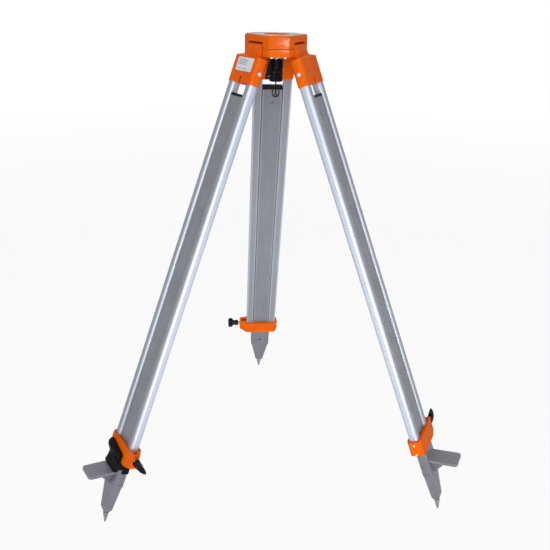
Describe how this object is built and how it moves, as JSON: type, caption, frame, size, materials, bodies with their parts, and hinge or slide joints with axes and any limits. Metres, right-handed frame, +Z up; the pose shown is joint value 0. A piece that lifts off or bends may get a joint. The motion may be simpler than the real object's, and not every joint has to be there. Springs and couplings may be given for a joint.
{
  "type": "surveying tripod",
  "caption": "Telescopic aluminium surveying tripod with a flat cast head, hinged twin-tube legs, wing-screw leg clamps, spade feet with treads and a captive fixing screw with plumb hook.",
  "frame": {"origin": "on the axis of the fixing screw at the height of the head's flat top face", "axes": "+Z up along the fixing screw; +Y towards leg 1; legs 2 and 3 follow anticlockwise seen from above"},
  "size_m": [0.8238, 0.7428, 1.009],
  "materials": {
    "orange_casting": "orange powder-coated aluminium casting, machined bare on the top face",
    "black_plastic": "moulded, slightly glossy",
    "tube_alloy": "anodised, satin",
    "profile_alloy": "anodised grey, matt",
    "cast_grey": "bare casting, matt",
    "steel": "zinc plated",
    "brass": "turned",
    "black_steel": "black coated steel",
    "strap_rubber": "moulded, glossy",
    "label_film": "blank white film"
  },
  "bodies": {
    "head": {"head_casting": "orange_casting", "arm_pivot": "steel", "bearing_cap_1": "orange_casting", "cap_screws_1": "steel", "hinge_pin_1": "steel", "bearing_cap_2": "orange_casting", "cap_screws_2": "steel", "hinge_pin_2": "steel", "bearing_cap_3": "orange_casting", "cap_screws_3": "steel", "hinge_pin_3": "steel"},
    "upper_leg_1": {"shoulder_bracket_1": "orange_casting", "tube_left_1": "tube_alloy", "tube_right_1": "tube_alloy", "tube_screws_1": "steel", "leg_clamp_1": "orange_casting", "clamp_rivets_1": "brass"},
    "lower_leg_1": {"inner_profile_1": "profile_alloy", "end_cap_1": "black_plastic", "foot_1": "cast_grey", "foot_point_1": "steel"},
    "thrust_pad_1": {"thrust_pad_1": "steel"},
    "wing_screw_1": {"wing_stud_1": "steel", "wing_grip_1": "black_plastic"},
    "upper_leg_2": {"shoulder_bracket_2": "orange_casting", "tube_left_2": "tube_alloy", "tube_right_2": "tube_alloy", "tube_screws_2": "steel", "leg_clamp_2": "orange_casting", "clamp_rivets_2": "brass", "blank_label": "label_film"},
    "lower_leg_2": {"inner_profile_2": "profile_alloy", "end_cap_2": "black_plastic", "foot_2": "cast_grey", "foot_point_2": "steel", "closing_strap": "strap_rubber"},
    "thrust_pad_2": {"thrust_pad_2": "steel"},
    "wing_screw_2": {"wing_stud_2": "steel", "wing_grip_2": "black_plastic"},
    "upper_leg_3": {"shoulder_bracket_3": "orange_casting", "tube_left_3": "tube_alloy", "tube_right_3": "tube_alloy", "tube_screws_3": "steel", "leg_clamp_3": "orange_casting", "clamp_rivets_3": "brass"},
    "lower_leg_3": {"inner_profile_3": "profile_alloy", "end_cap_3": "black_plastic", "foot_3": "cast_grey", "foot_point_3": "steel"},
    "thrust_pad_3": {"thrust_pad_3": "steel"},
    "wing_screw_3": {"wing_stud_3": "steel", "wing_grip_3": "black_plastic"},
    "swing_arm": {"swing_arm": "black_steel"},
    "screw_bush": {"screw_bush": "brass"},
    "retaining_ring": {"retaining_ring": "steel"},
    "fixing_screw": {"fixing_stud": "steel", "fixing_knob": "black_plastic"},
    "plumb_hook": {"plumb_hook": "steel"}
  },
  "joints": [
    {"name": "leg_hinge_1", "type": "hinge", "parent": "head", "child": "upper_leg_1", "pos_m": [0, 0.044, -0.024], "axis": [1, 0, 0], "range_deg": [-21.5, 18]},
    {"name": "leg_slide_1", "type": "slide", "parent": "upper_leg_1", "child": "lower_leg_1", "axis": [0, 0.3725, -0.928], "range_m": [0, 0.6]},
    {"name": "pad_press_1", "type": "slide", "parent": "upper_leg_1", "child": "thrust_pad_1", "axis": [-1, 0, 0], "range_m": [0, 0.0026]},
    {"name": "wing_turn_1", "type": "hinge", "parent": "thrust_pad_1", "child": "wing_screw_1", "pos_m": [-0.061, 0.37755, -0.82855], "axis": [-1, 0, 0], "range_deg": [0, 720]},
    {"name": "leg_hinge_2", "type": "hinge", "parent": "head", "child": "upper_leg_2", "pos_m": [-0.0381, -0.022, -0.024], "axis": [-0.5, 0.866, 0], "range_deg": [-21.5, 18]},
    {"name": "leg_slide_2", "type": "slide", "parent": "upper_leg_2", "child": "lower_leg_2", "axis": [-0.3226, -0.1863, -0.928], "range_m": [0, 0.6]},
    {"name": "pad_press_2", "type": "slide", "parent": "upper_leg_2", "child": "thrust_pad_2", "axis": [0.5, -0.866, 0], "range_m": [0, 0.0026]},
    {"name": "wing_turn_2", "type": "hinge", "parent": "thrust_pad_2", "child": "wing_screw_2", "pos_m": [-0.29647, -0.2416, -0.82855], "axis": [0.5, -0.866, 0], "range_deg": [0, 720]},
    {"name": "leg_hinge_3", "type": "hinge", "parent": "head", "child": "upper_leg_3", "pos_m": [0.0381, -0.022, -0.024], "axis": [-0.5, -0.866, 0], "range_deg": [-21.5, 18]},
    {"name": "leg_slide_3", "type": "slide", "parent": "upper_leg_3", "child": "lower_leg_3", "axis": [0.3226, -0.1863, -0.928], "range_m": [0, 0.6]},
    {"name": "pad_press_3", "type": "slide", "parent": "upper_leg_3", "child": "thrust_pad_3", "axis": [0.5, 0.866, 0], "range_m": [0, 0.0026]},
    {"name": "wing_turn_3", "type": "hinge", "parent": "thrust_pad_3", "child": "wing_screw_3", "pos_m": [0.35747, -0.13595, -0.82855], "axis": [0.5, 0.866, 0], "range_deg": [0, 720]},
    {"name": "arm_swing", "type": "hinge", "parent": "head", "child": "swing_arm", "pos_m": [0, -0.046, -0.031], "axis": [0, 0, 1], "range_deg": [-12, 12]},
    {"name": "bush_slide", "type": "slide", "parent": "swing_arm", "child": "screw_bush", "axis": [0, 1, 0], "range_m": [-0.009, 0.009]},
    {"name": "screw_lift", "type": "slide", "parent": "screw_bush", "child": "retaining_ring", "axis": [0, 0, 1], "range_m": [0, 0.01]},
    {"name": "screw_turn", "type": "hinge", "parent": "retaining_ring", "child": "fixing_screw", "pos_m": [0, 0, -0.04], "axis": [0, 0, 1], "continuous": true},
    {"name": "hook_swivel", "type": "hinge", "parent": "fixing_screw", "child": "plumb_hook", "pos_m": [0, 0, -0.09], "axis": [0, 0, 1], "continuous": true}
  ],
  "couplings": [
    {"joint": "pad_press_1", "follows": "wing_turn_1", "m_per_rad": 0.00019894},
    {"joint": "pad_press_2", "follows": "wing_turn_2", "m_per_rad": 0.00019894},
    {"joint": "pad_press_3", "follows": "wing_turn_3", "m_per_rad": 0.00019894}
  ]
}
